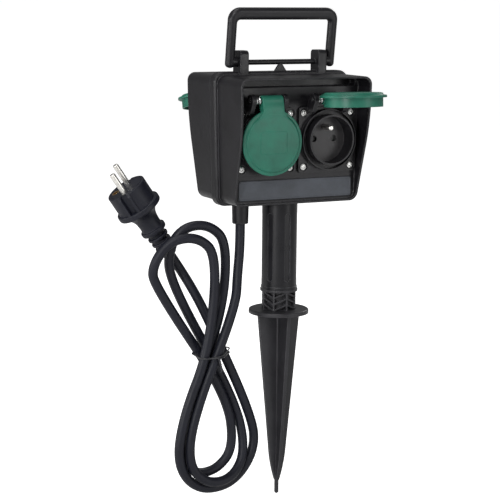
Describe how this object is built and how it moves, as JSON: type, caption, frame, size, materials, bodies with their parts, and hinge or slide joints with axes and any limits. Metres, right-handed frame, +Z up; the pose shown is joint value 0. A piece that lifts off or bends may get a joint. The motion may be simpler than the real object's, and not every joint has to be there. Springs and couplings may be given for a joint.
{
  "type": "garden socket post",
  "caption": "Outdoor socket post: split case with lidded mains sockets front and rear, folding carry handle, round post on a ground spike, and a tied mains cord with plug.",
  "frame": {"origin": "centre of the underside of the spike's flange, on the post axis, where the post meets the ground", "axes": "+Z up along the post, -Y towards the front sockets, +X to the right seen from the front"},
  "size_m": [0.2157, 0.2064, 0.4247],
  "materials": {
    "case_plastic": "fine texture",
    "lid_plastic": "satin",
    "post_plastic": "fine texture",
    "cord_rubber": "satin",
    "zinc_steel": "bright zinc",
    "spring_steel": "bright",
    "brass": "bright",
    "pin_nickel": "bright nickel",
    "seal_rubber": "matt",
    "insert_plastic": "satin",
    "shutter_plastic": "satin",
    "live_plastic": "satin",
    "neutral_plastic": "satin",
    "earth_plastic": "satin"
  },
  "bodies": {
    "case": {"front_shell": "case_plastic", "rear_shell": "case_plastic", "case_gasket": "seal_rubber", "case_screws": "zinc_steel", "post_tube": "post_plastic", "ground_spike": "post_plastic", "cable_gland": "case_plastic", "cord_inner": "cord_rubber", "cord_clamp": "insert_plastic", "clamp_screws": "zinc_steel", "cord_lead": "cord_rubber", "cord_hank": "cord_rubber", "cord_tail": "cord_rubber", "cord_tie": "seal_rubber", "plug_body": "cord_rubber", "plug_pins": "pin_nickel", "plug_earth_socket": "brass", "live_wire": "live_plastic", "neutral_wire": "neutral_plastic", "earth_wire": "earth_plastic", "plate_screws": "zinc_steel", "lid_springs": "spring_steel", "hinge_pins": "zinc_steel", "socket_front_left": "insert_plastic", "socket_back_front_left": "insert_plastic", "contacts_front_left": "brass", "earth_pin_front_left": "pin_nickel", "socket_front_right": "insert_plastic", "socket_back_front_right": "insert_plastic", "contacts_front_right": "brass", "earth_pin_front_right": "pin_nickel", "socket_rear_left": "insert_plastic", "socket_back_rear_left": "insert_plastic", "contacts_rear_left": "brass", "earth_pin_rear_left": "pin_nickel", "socket_rear_right": "insert_plastic", "socket_back_rear_right": "insert_plastic", "contacts_rear_right": "brass", "earth_pin_rear_right": "pin_nickel"},
    "handle": {"handle": "case_plastic"},
    "lid_front_left": {"lid_front_left": "lid_plastic", "lid_seal_front_left": "seal_rubber"},
    "shutter_front_left": {"shutter_front_left": "shutter_plastic"},
    "lid_front_right": {"lid_front_right": "lid_plastic", "lid_seal_front_right": "seal_rubber"},
    "shutter_front_right": {"shutter_front_right": "shutter_plastic"},
    "lid_rear_left": {"lid_rear_left": "lid_plastic", "lid_seal_rear_left": "seal_rubber"},
    "shutter_rear_left": {"shutter_rear_left": "shutter_plastic"},
    "lid_rear_right": {"lid_rear_right": "lid_plastic", "lid_seal_rear_right": "seal_rubber"},
    "shutter_rear_right": {"shutter_rear_right": "shutter_plastic"}
  },
  "joints": [
    {"name": "handle_pivot", "type": "hinge", "parent": "case", "child": "handle", "pos_m": [0, 0.0025, 0.2163], "axis": [1, 0, 0], "range_deg": [-97.5, 82.5]},
    {"name": "lid_hinge_front_left", "type": "hinge", "parent": "case", "child": "lid_front_left", "pos_m": [-0.029, -0.037, 0.1863], "axis": [-1, 0, 0], "range_deg": [0, 95], "stiffness_Nm_per_rad": 0.004, "springref_deg": -57.3},
    {"name": "lid_hinge_front_right", "type": "hinge", "parent": "case", "child": "lid_front_right", "pos_m": [0.029, -0.037, 0.1863], "axis": [-1, 0, 0], "range_deg": [-93, 2]},
    {"name": "lid_hinge_rear_left", "type": "hinge", "parent": "case", "child": "lid_rear_left", "pos_m": [-0.029, 0.047, 0.1863], "axis": [1, 0, 0], "range_deg": [-78, 17]},
    {"name": "lid_hinge_rear_right", "type": "hinge", "parent": "case", "child": "lid_rear_right", "pos_m": [0.029, 0.047, 0.1863], "axis": [1, 0, 0], "range_deg": [0, 95], "stiffness_Nm_per_rad": 0.004, "springref_deg": -57.3},
    {"name": "shutter_slide_front_left", "type": "slide", "parent": "case", "child": "shutter_front_left", "axis": [1, 0, 0], "range_m": [0, 0.006], "stiffness_N_per_m": 60, "springref_m": -0.005},
    {"name": "shutter_slide_front_right", "type": "slide", "parent": "case", "child": "shutter_front_right", "axis": [1, 0, 0], "range_m": [0, 0.006], "stiffness_N_per_m": 60, "springref_m": -0.005},
    {"name": "shutter_slide_rear_left", "type": "slide", "parent": "case", "child": "shutter_rear_left", "axis": [-1, 0, 0], "range_m": [0, 0.006], "stiffness_N_per_m": 60, "springref_m": -0.005},
    {"name": "shutter_slide_rear_right", "type": "slide", "parent": "case", "child": "shutter_rear_right", "axis": [-1, 0, 0], "range_m": [0, 0.006], "stiffness_N_per_m": 60, "springref_m": -0.005}
  ]
}
